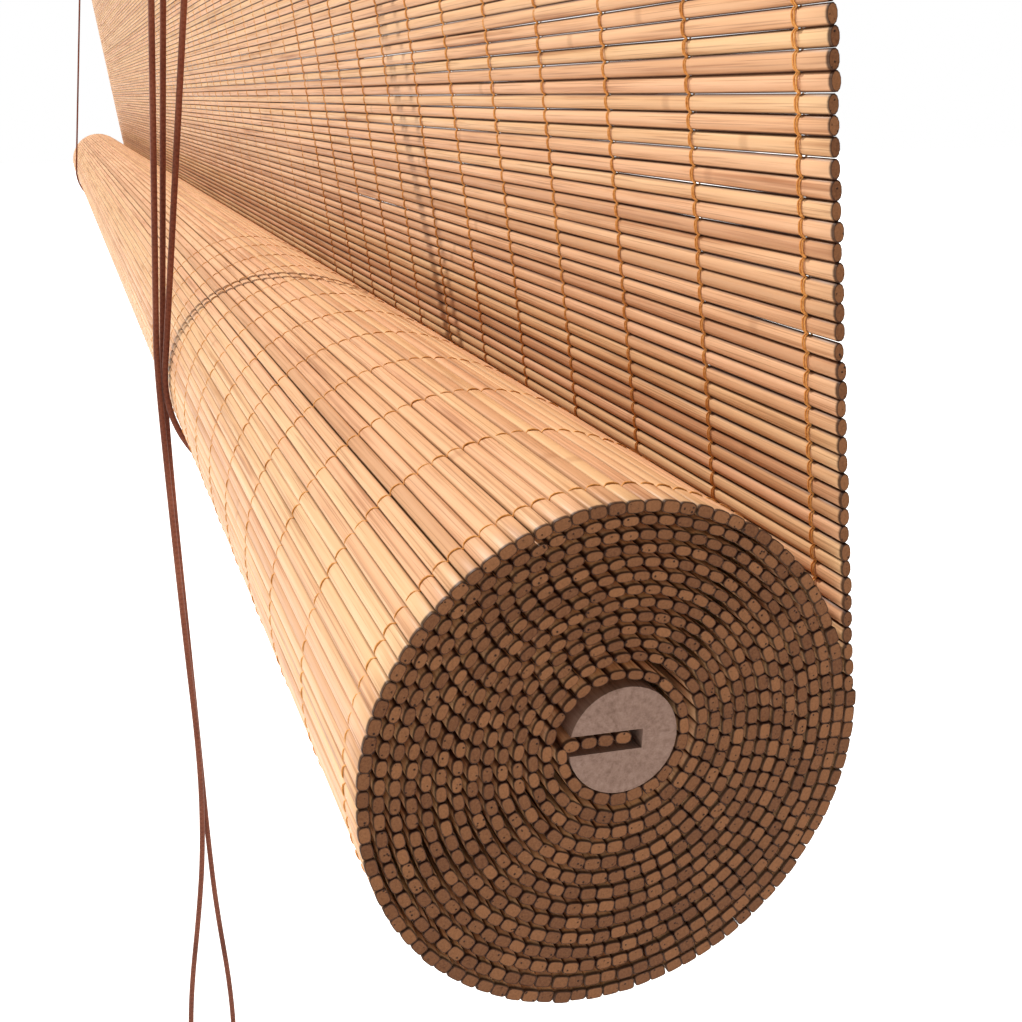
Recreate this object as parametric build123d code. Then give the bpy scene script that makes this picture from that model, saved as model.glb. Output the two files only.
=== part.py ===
from build123d import *
import os
from math import acos, atan2, cos, degrees, hypot, pi, radians, sin, sqrt, tan

# Bamboo roll-up blind, drawn up most of the way.  Millimetres.
# X runs along the slats (+X is the pull-cord end), -Y faces the room, +Z is up.
# The origin is midway between the two hanging holes.

os.makedirs("parts", exist_ok=True)

# ---------------------------------------------------------------- driving sizes
MAT_WIDTH = 1830.0            # length of every slat
SLAT_PITCH = 2.65             # slat to slat along the mat
SLAT_HEIGHT = 2.45            # one slat, along the mat
SLAT_THICK = 1.7              # one slat, through the mat
SLAT_CHAMFER = 0.45
RAIL_THICK = 20.0
RAIL_HEIGHT = 30.0
ROLL_DROP = 283.0             # underside of the rail to the axis of the roll
MAT_LEAN = 7.2                # degrees from plumb: the roll pushes the mat back
ROLL_RADIUS = 38.2            # outside of the outermost turn
CORE_RADIUS = 8.25
CORE_RISE = 3.4               # the core sits above the middle of the outermost turn
ROLL_TURNS = 13               # whole turns; the part turn left over ends at the slot
ROLL_BULGE = 1.8              # extra radius of the outer turns at the top and the bottom
SLOT_TILT = 3.0               # degrees below level, from the mouth inwards
SLOT_WIDTH = 3.0
SLOT_REACH = 2.9              # end of the slot past the middle of the core
CORD_DIA = 2.0
WHEEL_CORD_RADIUS = 9.2       # centre of the cord round a wheel
PULL_X = 641.0                # pull cords and both lift cords, from the middle
PLATE_SPACING = 1640.0        # hanging hole to hanging hole

# ---------------------------------------------------------------- fits
RUN = 0.05                    # radial clearance of a running pin
CORD_GAP = 0.3                # cord to anything it bears on
CORD_ROOM = 0.5               # lift cord to the stitching of the roll
SEAT = 0.05                   # screw or nail shank in its hole

# ---------------------------------------------------------------- small parts
BATTEN_THICK = 4.0
BATTEN_HEIGHT = 14.0
PLATE_THICK = 2.0
PLATE_WIDTH = 18.0
PLATE_HOLE_RADIUS = 3.25
PLATE_HOLE_RISE = 14.0        # hanging hole above the rail's top
PLATE_TAIL = 14.0             # length of the plate that lies on the rail
SCREW_RADIUS = 1.5
SCREW_HEAD_RADIUS = 3.0
SCREW_HEAD_HEIGHT = 1.6
SCREW_LENGTH = 14.0
NAIL_RADIUS = 0.8
NAIL_HEAD_RADIUS = 2.0
NAIL_HEAD_HEIGHT = 0.6
NAIL_COUNT = 15
NAIL_LENGTH = 14.0
ANCHOR_THICK = 1.2
ANCHOR_WIDTH = 14.0
ANCHOR_REACH = 12.0           # length of the shelf that the lift cord hangs from
ANCHOR_HOLE_Y = 8.0
ANCHOR_HOLE_RADIUS = 1.6
KNOT_RADIUS = 2.6
PIN_RADIUS = 2.0
PIN_HEAD_RADIUS = 3.2
PIN_HEAD_HEIGHT = 1.0
WHEEL_WIDTH = 5.0
WHEEL_RIM_RADIUS = 11.0
GROOVE_WIDTH = 3.0            # at the bottom of the groove
GROOVE_MOUTH = 4.2            # at the rim
BLOCK_WALL = 2.5
BLOCK_ROOM = 9.4              # pocket for a wheel that stands at a slant
THREAD_COUNT = 60             # rows of stitching across the mat
THREAD_EDGE = 8.0             # first row from the end of the slats
THREAD_WIDTH = 1.3
THREAD_THICK = 0.35
THREAD_CLEAR = 3              # slats left bare where the front meets the roll
ROLL_FACETS = 24              # flats in one turn

# ---------------------------------------------------------------- where things are
WHEEL_GROOVE_RADIUS = WHEEL_CORD_RADIUS - CORD_DIA / 2 - CORD_GAP
RAIL_TOP = -PLATE_HOLE_RISE
RAIL_BOTTOM = RAIL_TOP - RAIL_HEIGHT
RAIL_BACK = -PLATE_THICK / 2
RAIL_FRONT = RAIL_BACK - RAIL_THICK
MAT_HALF = SLAT_THICK / 2
TURN_OUTER = ROLL_RADIUS - MAT_HALF                      # middle of the outermost turn
TURN_INNER = CORE_RADIUS + MAT_HALF + 0.15               # middle of the innermost turn
LEAN = radians(MAT_LEAN)
ROLL_Z = RAIL_BOTTOM - ROLL_DROP
ROLL_Y = ROLL_DROP * tan(LEAN) - TURN_OUTER / cos(LEAN)  # the mat just touches the roll
CORE_Z = ROLL_Z + CORE_RISE
BATTEN_TOP = RAIL_BOTTOM + BATTEN_HEIGHT
MAT_TOP = BATTEN_TOP - 1.0
CORD_TURN = ROLL_RADIUS + CORD_ROOM + CORD_DIA / 2       # lift cord round the roll
CORD_SAG = 1.2                                           # the lift cord hangs a little low
PULL_FRONT_Y = ROLL_Y - CORD_TURN - CORD_DIA - 0.2       # front pull cord before the roll
PULL_BACK_Y = ROLL_Y - CORD_TURN                         # back pull cord beside the lift cord
PULL_BACK_X = PULL_X - CORD_DIA - 0.4
LOCK_CORD_STEP = 8.0                                     # between the two cords inside the lock
WHEEL_Z = ROLL_Z + 260.0                                 # axle of the wheel over the roll
LOCK_WHEEL_Y = ROLL_Y - 14.0
LEFT_CORD_Y = ROLL_Y - 7.6                               # left lift cord at its wheel
BACK_PULL_TOP = Vector(PULL_X - LOCK_CORD_STEP, ROLL_Y - 16.2, WHEEL_Z)


def save(shape, name):
    shape.label = name
    export_step(shape, f"parts/{name}.step")


def block(x0, x1, y0, y1, z0, z1):
    return Pos((x0 + x1) / 2, (y0 + y1) / 2, (z0 + z1) / 2) * Box(x1 - x0, y1 - y0, z1 - z0)


def rod(start, end, radius):
    """A round bar from one point to another."""
    line = Vector(*end) - Vector(*start)
    return extrude(Plane(origin=start, z_dir=line) * Circle(radius), line.length)


def screw(seat, into, length=SCREW_LENGTH, clearance=0.0):
    """A pan-head screw whose head bears at seat; with a clearance it is the hole."""
    seat = Vector(*seat)
    into = Vector(*into).normalized()
    shank = rod(seat, seat + into * (length + clearance), SCREW_RADIUS + clearance)
    if clearance:
        return shank
    dome = rod(seat, seat - into * SCREW_HEAD_HEIGHT, SCREW_HEAD_RADIUS)
    return shank + fillet(dome.edges().group_by(lambda e: (e.center() - seat).dot(into))[0], 0.7)


# ---------------------------------------------------------------- the mat
def lean_point(down, out=0.0):
    """A point of the hanging mat: down along it from the rail, out towards the window."""
    return (down * sin(LEAN) + out * cos(LEAN), RAIL_BOTTOM - down * cos(LEAN) + out * sin(LEAN))


def slat_section(y, z, tilt):
    half_t = SLAT_THICK / 2
    half_h = SLAT_HEIGHT / 2
    c = SLAT_CHAMFER
    corners = [(half_t - c, half_h), (half_t, half_h - c), (half_t, c - half_h), (half_t - c, -half_h)]
    corners += [(-a, b) for a, b in reversed(corners)]
    turned = [(y + a * cos(tilt) - b * sin(tilt), z + a * sin(tilt) + b * cos(tilt)) for a, b in corners]
    return make_face(Polyline(turned, close=True))


def across(section, x0=-MAT_WIDTH / 2, x1=MAT_WIDTH / 2):
    """Push a section drawn in Y and Z along X."""
    return extrude(Plane.YZ.offset(x0) * section, x1 - x0)


MAT_RUN = ROLL_DROP / cos(LEAN) - TURN_OUTER * tan(LEAN)  # hanging mat, rail to roll


def hanging_slats():
    slats = []
    clamped = int((MAT_TOP - RAIL_BOTTOM) / SLAT_PITCH)
    for i in range(clamped):
        z = RAIL_BOTTOM + SLAT_PITCH * (i + 0.5)
        slats.append(across(slat_section(0.0, z, 0.0)))
    for i in range(int(MAT_RUN / SLAT_PITCH)):
        y, z = lean_point(SLAT_PITCH * (i + 0.5))
        slats.append(across(slat_section(y, z, LEAN)))
    return slats


def warp_threads():
    """Straight stitching threads down the front and the back of the hanging mat."""
    threads = []
    first = -MAT_WIDTH / 2 + THREAD_EDGE
    step = (MAT_WIDTH - 2 * THREAD_EDGE) / (THREAD_COUNT - 1)
    whole = int(MAT_RUN / SLAT_PITCH)
    for side in (-1, 1):
        length = (whole if side > 0 else whole - THREAD_CLEAR) * SLAT_PITCH
        near = side * MAT_HALF
        far = side * (MAT_HALF + THREAD_THICK)
        top = 1.0
        corners = [lean_point(top, near), lean_point(top, far)]
        corners += [lean_point(length, far), lean_point(length, near)]
        strip = make_face(Polyline(corners, close=True))
        for i in range(THREAD_COUNT):
            x = first + step * i
            threads.append(across(strip, x - THREAD_WIDTH / 2, x + THREAD_WIDTH / 2))
    return threads


def turn_line():
    """The middle of the rolled mat, from the hanging mat inwards to the slot of the core."""
    start = LEAN
    end = pi - radians(SLOT_TILT)
    sweep_angle = 2 * pi * ROLL_TURNS + 2 * pi - (end - start)
    turns = sweep_angle / (2 * pi)
    steps = round(turns * ROLL_FACETS)
    points = []
    for i in range(steps + 1):
        share = i / steps
        angle = start - sweep_angle * share
        left = turns * (1 - share)
        wound = left ** 3 if left < 1 else left    # the last turn hugs the core
        radius = TURN_INNER + (TURN_OUTER - TURN_INNER) * wound / turns
        radius += ROLL_BULGE * sin(angle - start) ** 2 * (1 - share)
        points.append((radius * cos(angle), radius * sin(angle) + CORE_RISE * share))
    slot = radians(-SLOT_TILT)
    for reach in (-CORE_RADIUS / 2, SLOT_REACH - 0.3):
        points.append((reach * cos(slot), reach * sin(slot) + CORE_RISE))
    return points


def offset_line(points, out):
    """The same line pushed sideways, with mitred corners."""
    moved = []
    for i, (y, z) in enumerate(points):
        y0, z0 = points[max(i - 1, 0)]
        y1, z1 = points[min(i + 1, len(points) - 1)]
        a = (y - y0, z - z0) if i else (y1 - y, z1 - z)
        b = (y1 - y, z1 - z) if i < len(points) - 1 else a
        a = (a[0] / hypot(*a), a[1] / hypot(*a))
        b = (b[0] / hypot(*b), b[1] / hypot(*b))
        normal = (-(a[1] + b[1]), a[0] + b[0])
        size = hypot(*normal)
        mitre = out / ((-a[1] * normal[0] + a[0] * normal[1]) / size)
        moved.append((y + normal[0] / size * mitre, z + normal[1] / size * mitre))
    return moved


def rolled_mat():
    middle = turn_line()
    edge = offset_line(middle, MAT_HALF) + offset_line(middle, -MAT_HALF)[::-1]
    placed = [(y + ROLL_Y, z + ROLL_Z) for y, z in edge]
    return across(make_face(Polyline(placed, close=True)))


def core_rod():
    centre = (0.0, ROLL_Y, CORE_Z)
    dowel = rod((-MAT_WIDTH / 2, *centre[1:]), (MAT_WIDTH / 2, *centre[1:]), CORE_RADIUS)
    cut = Pos(0, -(CORE_RADIUS + 1 - SLOT_REACH) / 2, 0) * Box(MAT_WIDTH, CORE_RADIUS + 1 + SLOT_REACH, SLOT_WIDTH)
    return dowel - Pos(*centre) * Rot(-SLOT_TILT, 0, 0) * cut


# ---------------------------------------------------------------- cords
def leave_circle(point, centre, radius, side):
    """Where a line from a point touches a circle, in Y and Z; side picks which of the two."""
    dy, dz = point[0] - centre[0], point[1] - centre[1]
    angle = atan2(dz, dy) + side * acos(radius / hypot(dy, dz))
    return (centre[0] + radius * cos(angle), centre[1] + radius * sin(angle))


def around(centre, radius, start, end, x):
    """An arc round the bottom or the top of a circle, through its lowest or highest point."""
    low = start[1] < centre[1] + radius / 2
    middle = (centre[0], centre[1] + (-radius if low else radius))
    return ThreePointArc((x, *start), (x, *middle), (x, *end))


def quarter(start, heading, out, radius):
    """An arc that leaves start along heading and ends along out; its centre comes too."""
    towards = (out - heading * out.dot(heading)).normalized()
    centre = start + towards * radius
    last = centre + (heading - out * heading.dot(out)).normalized() * radius
    middle = centre + ((start - centre) + (last - centre)).normalized() * radius
    return ThreePointArc(start, middle, last), centre, last


def cord(edges):
    """A round cord swept along edges that run on smoothly."""
    path = Wire(edges)
    return sweep(Plane(origin=path @ 0, z_dir=path % 0) * Circle(CORD_DIA / 2), path=path)


def free_cord(points, name):
    """A cord along straight runs and arcs, each arc as large as its runs allow."""
    points = [Vector(*p) for p in points]
    radii = []
    for a, b, c in zip(points, points[1:], points[2:]):
        turn = radians((b - a).get_angle(c - b))
        radii.append(0.45 * min((b - a).length, (c - b).length) / tan(turn / 2))
    print(name, "arc radii", [round(r, 1) for r in radii])
    path = FilletPolyline(*points, radius=radii)
    solid = sweep(Plane(origin=path @ 0, z_dir=path % 0) * Circle(CORD_DIA / 2), path=path)
    print(name, "length", round(path.length, 1), "volume ratio",
          round(solid.volume / (pi * CORD_DIA ** 2 / 4 * path.length), 4))
    return solid


ROLL_CENTRE = (ROLL_Y, ROLL_Z - CORD_SAG)
ANCHOR_SHELF_TOP = BATTEN_TOP + 1.0 + ANCHOR_THICK
ANCHOR_POINT = (ANCHOR_HOLE_Y, ANCHOR_SHELF_TOP + KNOT_RADIUS - 0.3)
BACK_TOUCH = leave_circle(ANCHOR_POINT, ROLL_CENTRE, CORD_TURN, -1)
RIGHT_WHEEL = (LOCK_WHEEL_Y, WHEEL_Z)

# the right lift cord crosses from the roll's front to the back of its wheel
_span = (RIGHT_WHEEL[0] - ROLL_CENTRE[0], RIGHT_WHEEL[1] - ROLL_CENTRE[1])
_turn = atan2(_span[1], _span[0]) + acos((CORD_TURN + WHEEL_CORD_RADIUS) / hypot(*_span))
WHEEL_TOUCH = (RIGHT_WHEEL[0] - WHEEL_CORD_RADIUS * cos(_turn), RIGHT_WHEEL[1] - WHEEL_CORD_RADIUS * sin(_turn))
PULL_TOUCH = (PULL_FRONT_Y, ROLL_Z + 6.0)
WHEEL_LEAVE = leave_circle(PULL_TOUCH, RIGHT_WHEEL, WHEEL_CORD_RADIUS, -1)
LOCK_EXIT_Z = WHEEL_Z - 32.0


def along(start, end, z):
    """The point of a straight line in space at height z."""
    return start + (end - start) * ((z - start.Z) / (end.Z - start.Z))


# the left lift cord goes up to its own wheel, along under the rail and down at the lock
LEFT_RISE = Vector(-PULL_X, LEFT_CORD_Y, WHEEL_Z)
UP = (LEFT_RISE - Vector(-PULL_X, *leave_circle((LEFT_CORD_Y, WHEEL_Z), ROLL_CENTRE, CORD_TURN, 1))).normalized()
LEFT_TOP = LEFT_RISE + UP * WHEEL_CORD_RADIUS
LOCK_TURN_X = BACK_PULL_TOP.X - WHEEL_CORD_RADIUS
_run_end = Vector(LOCK_TURN_X, BACK_PULL_TOP.Y, LEFT_TOP.Z)
ACROSS = (_run_end - LEFT_TOP).normalized()
BACK_TARGET = Vector(PULL_BACK_X, PULL_BACK_Y, ROLL_Z + 4.0)
DOWN = (BACK_TARGET - BACK_PULL_TOP).normalized()

LEFT_ARC, LEFT_WHEEL_CENTRE, LEFT_LEAVE = quarter(LEFT_RISE, UP, ACROSS, WHEEL_CORD_RADIUS)
LOCK_ENTER = LEFT_LEAVE + ACROSS * ((LOCK_TURN_X - LEFT_LEAVE.X) / ACROSS.X)
LOCK_ARC, LOCK_WHEEL_CENTRE, LOCK_LEAVE = quarter(LOCK_ENTER, ACROSS, DOWN, WHEEL_CORD_RADIUS)
BACK_EXIT = along(LOCK_LEAVE, BACK_TARGET, LOCK_EXIT_Z)
FRONT_EXIT = along(Vector(PULL_X, *WHEEL_LEAVE), Vector(PULL_X, *PULL_TOUCH), LOCK_EXIT_Z)


def lift_edges(x, top):
    """Anchor knot, down behind the mat, under the roll and up its front to the wheel."""
    front = leave_circle(top, ROLL_CENTRE, CORD_TURN, 1)
    return [
        Line((x, *ANCHOR_POINT), (x, *BACK_TOUCH)),
        around(ROLL_CENTRE, CORD_TURN, BACK_TOUCH, front, x),
        Line((x, *front), (x, *top)),
    ]


def knot(x):
    return Pos(x, *ANCHOR_POINT) * Sphere(KNOT_RADIUS)


def lift_cord_right():
    edges = lift_edges(PULL_X, WHEEL_TOUCH)
    edges.append(around(RIGHT_WHEEL, WHEEL_CORD_RADIUS, WHEEL_TOUCH, WHEEL_LEAVE, PULL_X))
    edges.append(Line((PULL_X, *WHEEL_LEAVE), FRONT_EXIT))
    return cord(edges) + knot(PULL_X)


def lift_cord_left():
    edges = lift_edges(-PULL_X, (LEFT_CORD_Y, WHEEL_Z))
    edges += [LEFT_ARC, Line(LEFT_LEAVE, LOCK_ENTER), LOCK_ARC, Line(LOCK_LEAVE, BACK_EXIT)]
    return cord(edges) + knot(-PULL_X)


# ---------------------------------------------------------------- the spare pull cord
HANK_TURNS = 9                # side by side in one layer
HANK_LAYERS = 5
HANK_STEP = CORD_DIA + 0.1
HANK_STRAIGHT = 22.0
HANK_INNER = 4.0              # centre of the innermost layer
HANK_OUTER = HANK_INNER + (HANK_LAYERS - 1) * HANK_STEP
HANK_X = PULL_X - HANK_OUTER
HANK_Z = ROLL_Z - 352.0
HANK_MIDDLE_Y = ROLL_Y - 44.6
HANK_SPREAD = 2.3             # middle plane to the first turn of each hank
HANK_DEPTH = (HANK_TURNS - 1) * HANK_STEP
KNOB_RADIUS = 11.0
KNOB_HEIGHT = 34.0
KNOB_BORE = 3.4
KNOB_HOLLOW = 12.0            # depth of the wide hole for the knot
KNOB_HOLLOW_RADIUS = 5.6
KNOB_KNOT_RADIUS = 5.0
KNOB_TOP = HANK_Z - 60.0
TIE_HEIGHT = 7.0
TIE_THICK = 2.0


def hank(side):
    """The closed outline of one wound hank; side is -1 for the front cord, 1 for the back."""
    outer = HANK_OUTER + CORD_DIA / 2
    face = SlotCenterToCenter(HANK_STRAIGHT, 2 * outer, rotation=90)
    near = HANK_MIDDLE_Y + side * (HANK_SPREAD - CORD_DIA / 2)
    far = HANK_MIDDLE_Y + side * (HANK_SPREAD + HANK_DEPTH + CORD_DIA / 2)
    plane = Plane(origin=(HANK_X, near, HANK_Z), x_dir=(1, 0, 0), z_dir=(0, side, 0))
    return extrude(plane * face, abs(far - near))


def hank_tie():
    half_x = HANK_OUTER + CORD_DIA / 2 + CORD_GAP
    half_y = HANK_SPREAD + HANK_DEPTH + CORD_DIA / 2 + CORD_GAP
    outline = RectangleRounded(2 * (half_x + TIE_THICK), 2 * (half_y + TIE_THICK), 3.0)
    hole = RectangleRounded(2 * half_x, 2 * half_y, CORD_GAP)
    place = Pos(HANK_X, HANK_MIDDLE_Y, HANK_Z - TIE_HEIGHT / 2)
    return place * extrude(outline - hole, TIE_HEIGHT)


def pull_points(side):
    """The pull cord from the lock to its hank; the two swing apart below the roll."""
    enter = HANK_MIDDLE_Y + side * HANK_SPREAD
    end = HANK_Z + HANK_STRAIGHT / 2 + sqrt((HANK_OUTER + 1) ** 2 - (HANK_OUTER - 1) ** 2) + CORD_GAP
    if side < 0:
        shape = [(PULL_FRONT_Y, 6.0), (ROLL_Y - 41.5, -38.0), (ROLL_Y - 40.6, -92.0),
                 (ROLL_Y - 39.3, -140.0), (ROLL_Y - 41.0, -176.0), (ROLL_Y - 44.6, -204.0),
                 (ROLL_Y - 50.6, -240.0), (ROLL_Y - 53.0, -272.0), (ROLL_Y - 49.6, -297.0)]
        points = [FRONT_EXIT] + [(PULL_X, y, ROLL_Z + z) for y, z in shape]
    else:
        shape = [(PULL_BACK_X, PULL_BACK_Y - 0.3, 4.0), (PULL_X - 2.4, ROLL_Y - 40.3, -42.0),
                 (PULL_X - 2.4, ROLL_Y - 39.6, -94.0), (PULL_X - 2.5, ROLL_Y - 39.1, -142.0),
                 (PULL_X - 2.2, ROLL_Y - 38.8, -178.0), (PULL_X - 1.6, ROLL_Y - 38.0, -206.0),
                 (PULL_X - 0.8, ROLL_Y - 35.4, -242.0), (PULL_X - 0.2, ROLL_Y - 35.8, -272.0),
                 (PULL_X, ROLL_Y - 39.6, -297.0)]
        points = [BACK_EXIT] + [(x, y, ROLL_Z + z) for x, y, z in shape]
    return points + [(PULL_X, enter, end)]


def tail_points(side):
    """The short end below the hank, into the top of the knob."""
    face = HANK_SPREAD + HANK_DEPTH + CORD_DIA + CORD_GAP
    shape = [(face, -12.0), (face + 0.8, -27.0), (face - 4.0, -37.0), (8.5, -44.0), (1.25, -51.0), (1.25, -60.0)]
    return [(HANK_X, HANK_MIDDLE_Y + side * out, HANK_Z + z) for out, z in shape]


def pull_knob():
    """A turned wooden knob with a hole for the two knotted ends."""
    profile = [(0, 0), (KNOB_BORE + 1.6, 0)]
    bell = Spline((KNOB_BORE + 1.6, 0), (6.4, -8), (KNOB_RADIUS, -24), (8.6, -KNOB_HEIGHT))
    section = make_face([
        Line(*profile), bell, Line((8.6, -KNOB_HEIGHT), (0, -KNOB_HEIGHT)), Line((0, -KNOB_HEIGHT), (0, 0)),
    ])
    turned = revolve(Plane.XZ * section, Axis.Z)
    hollow = Pos(0, 0, KNOB_HOLLOW / 2 - KNOB_HEIGHT) * Cylinder(KNOB_HOLLOW_RADIUS, KNOB_HOLLOW)
    turned -= hollow + Cylinder(KNOB_BORE, 2 * KNOB_HEIGHT)
    return Pos(HANK_X, HANK_MIDDLE_Y, KNOB_TOP) * turned


def knob_knot():
    """The two ends knotted together inside the knob, with the stretch through its bore."""
    depth = KNOB_HEIGHT - KNOB_HOLLOW + KNOB_KNOT_RADIUS + CORD_GAP
    neck = Pos(0, 0, depth / 2) * Cylinder(KNOB_BORE - CORD_GAP, depth)
    return Pos(HANK_X, HANK_MIDDLE_Y, KNOB_TOP - depth) * (Sphere(KNOB_KNOT_RADIUS) + neck)


# ---------------------------------------------------------------- wheels and their pins
def axis_plane(centre, axle):
    return Plane(origin=centre, z_dir=axle)


def wheel(centre, axle):
    half = WHEEL_WIDTH / 2
    mouth = GROOVE_MOUTH / 2
    floor = GROOVE_WIDTH / 2
    bore = PIN_RADIUS + RUN
    outline = [(bore, -half), (WHEEL_RIM_RADIUS, -half), (WHEEL_RIM_RADIUS, -mouth),
               (WHEEL_GROOVE_RADIUS, -floor), (WHEEL_GROOVE_RADIUS, floor), (WHEEL_RIM_RADIUS, mouth),
               (WHEEL_RIM_RADIUS, half), (bore, half)]
    disc = revolve(Plane.XZ * make_face(Polyline(outline, close=True)), Axis.Z)
    return axis_plane(centre, axle).location * disc


def pin(centre, axle, half):
    """A riveted pin: a shank with a head at each end, half long each side of its wheel."""
    shank = Cylinder(PIN_RADIUS, 2 * half)
    head = Cylinder(PIN_HEAD_RADIUS, PIN_HEAD_HEIGHT)
    lift = half + PIN_HEAD_HEIGHT / 2
    return axis_plane(centre, axle).location * (shank + Pos(0, 0, lift) * head + Pos(0, 0, -lift) * head)


def pin_hole(centre, axle, half):
    """The hole for a pin, with flat seats for its heads sunk into the walls."""
    shank = Cylinder(PIN_RADIUS + SEAT, 4 * half)
    seat = Cylinder(PIN_HEAD_RADIUS + 0.5, 6.0)
    place = axis_plane(centre, axle).location
    return place * (shank + Pos(0, 0, half + 3.0) * seat + Pos(0, 0, -half - 3.0) * seat)


LEFT_AXLE = UP.cross(ACROSS).normalized()
LOCK_AXLE = ACROSS.cross(DOWN).normalized()
CROSS_AXLE = Vector(1, 0, 0)
PIN_HALF = BLOCK_ROOM / 2 + 1.2
CROSS_PIN_HALF = 4.2
WHEEL_ROOM = WHEEL_RIM_RADIUS + 1.0

# ---------------------------------------------------------------- the left pulley block
LEFT_BLOCK_HALF_X = WHEEL_ROOM + BLOCK_WALL
LEFT_BLOCK_HALF_Y = BLOCK_ROOM / 2 + BLOCK_WALL
LEFT_BLOCK_BOTTOM = LEFT_WHEEL_CENTRE.Z - 8.0
EAR = 9.0                     # screw ears each side of a block
EAR_THICK = 3.0


def left_block():
    c = LEFT_WHEEL_CENTRE
    hx, hy = LEFT_BLOCK_HALF_X, LEFT_BLOCK_HALF_Y
    body = block(c.X - hx, c.X + hx, c.Y - hy, c.Y + hy, LEFT_BLOCK_BOTTOM, RAIL_BOTTOM)
    body = fillet(body.edges().filter_by(Axis.Z), 2.0)
    body += block(c.X - hx - EAR, c.X + hx + EAR, c.Y - hy, c.Y + hy, RAIL_BOTTOM - EAR_THICK, RAIL_BOTTOM)
    room = block(c.X - WHEEL_ROOM, c.X + WHEEL_ROOM, c.Y - BLOCK_ROOM / 2, c.Y + BLOCK_ROOM / 2,
                 LEFT_BLOCK_BOTTOM - 1, c.Z + WHEEL_ROOM)
    mouth = block(c.X, c.X + hx + 1, LEFT_LEAVE.Y - 2.2, LEFT_LEAVE.Y + 1.8, LEFT_LEAVE.Z - 2.0, LEFT_LEAVE.Z + 2.0)
    body -= room + mouth + pin_hole(c, LEFT_AXLE, PIN_HALF)
    for seat in left_block_screws():
        body -= screw(seat, (0, 0, 1), clearance=SEAT)
    return body


def left_block_screws():
    c = LEFT_WHEEL_CENTRE
    out = LEFT_BLOCK_HALF_X + EAR / 2
    return [(c.X - out, c.Y, RAIL_BOTTOM - EAR_THICK), (c.X + out, c.Y, RAIL_BOTTOM - EAR_THICK)]


# ---------------------------------------------------------------- the cord lock
LOCK_X0 = LOCK_WHEEL_CENTRE.X - WHEEL_ROOM - BLOCK_WALL
LOCK_X1 = PULL_X + CROSS_PIN_HALF + PIN_HEAD_HEIGHT + BLOCK_WALL
LOCK_MOUTH_Y = LOCK_WHEEL_Y - WHEEL_ROOM - 2.5           # the front cord slants forward on its way out
LOCK_Y0 = LOCK_MOUTH_Y - BLOCK_WALL
LOCK_Y1 = LOCK_WHEEL_Y + WHEEL_ROOM + 1.5
LOCK_BOTTOM = LOCK_EXIT_Z
ROLLER_RADIUS = 1.5
ROLLER_TRAVEL = 5.0
ROLLER_LOW_Z = LOCK_BOTTOM + 6.0
ROLLER_HALF = 6.5             # half the length of the knurled part
JOURNAL_RADIUS = 1.1
JOURNAL_LENGTH = 3.0


def between_pulls(z):
    """Midway between the two pull cords at height z."""
    front = along(Vector(PULL_X, *WHEEL_LEAVE), Vector(PULL_X, *PULL_TOUCH), z)
    back = along(LOCK_LEAVE, BACK_TARGET, z)
    return Vector((front.X + back.X) / 2, (front.Y + back.Y) / 2, z)


ROLLER_LOW = between_pulls(ROLLER_LOW_Z)
_rise = between_pulls(ROLLER_LOW_Z + ROLLER_TRAVEL) - ROLLER_LOW
ROLLER_PATH = Vector(0, _rise.Y, _rise.Z).normalized()


def lock_roller():
    knurled = Cylinder(ROLLER_RADIUS, 2 * ROLLER_HALF)
    journals = Cylinder(JOURNAL_RADIUS, 2 * (ROLLER_HALF + JOURNAL_LENGTH))
    return Plane(origin=ROLLER_LOW, z_dir=(1, 0, 0)).location * (knurled + journals)


def lock_screws():
    y = LOCK_WHEEL_Y
    z = RAIL_BOTTOM - EAR_THICK
    return [(LOCK_X0 - EAR / 2, y, z), (LOCK_X1 + EAR / 2, y, z)]


def cord_lock_body():
    body = block(LOCK_X0, LOCK_X1, LOCK_Y0, LOCK_Y1, LOCK_BOTTOM, RAIL_BOTTOM)
    body = fillet(body.edges().filter_by(Axis.Z), 2.5)
    ears = block(LOCK_X0 - EAR, LOCK_X1 + EAR, LOCK_WHEEL_Y - 7, LOCK_WHEEL_Y + 7,
                 RAIL_BOTTOM - EAR_THICK, RAIL_BOTTOM)
    body += ears
    c = LOCK_WHEEL_CENTRE
    cut = block(LOCK_X0 - 1, c.X + WHEEL_ROOM, c.Y - BLOCK_ROOM / 2, c.Y + BLOCK_ROOM / 2,
                c.Z - WHEEL_ROOM, c.Z + WHEEL_ROOM)
    cut += block(PULL_X - WHEEL_WIDTH / 2 - 0.4, PULL_X + WHEEL_WIDTH / 2 + 0.4,
                 LOCK_MOUTH_Y, LOCK_WHEEL_Y + WHEEL_ROOM, LOCK_BOTTOM - 1, WHEEL_Z + WHEEL_ROOM)
    cut += block(ROLLER_LOW.X - ROLLER_HALF - 0.4, ROLLER_LOW.X + ROLLER_HALF + 0.4,
                 LOCK_MOUTH_Y, LOCK_WHEEL_Y + 2.0, LOCK_BOTTOM - 1, c.Z - WHEEL_ROOM + 1)
    cut += roller_slot()
    cut += pin_hole(c, LOCK_AXLE, PIN_HALF)
    cut += pin_hole((PULL_X, LOCK_WHEEL_Y, WHEEL_Z), CROSS_AXLE, CROSS_PIN_HALF)
    body -= cut
    for seat in lock_screws():
        body -= screw(seat, (0, 0, 1), clearance=SEAT)
    return body


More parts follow.
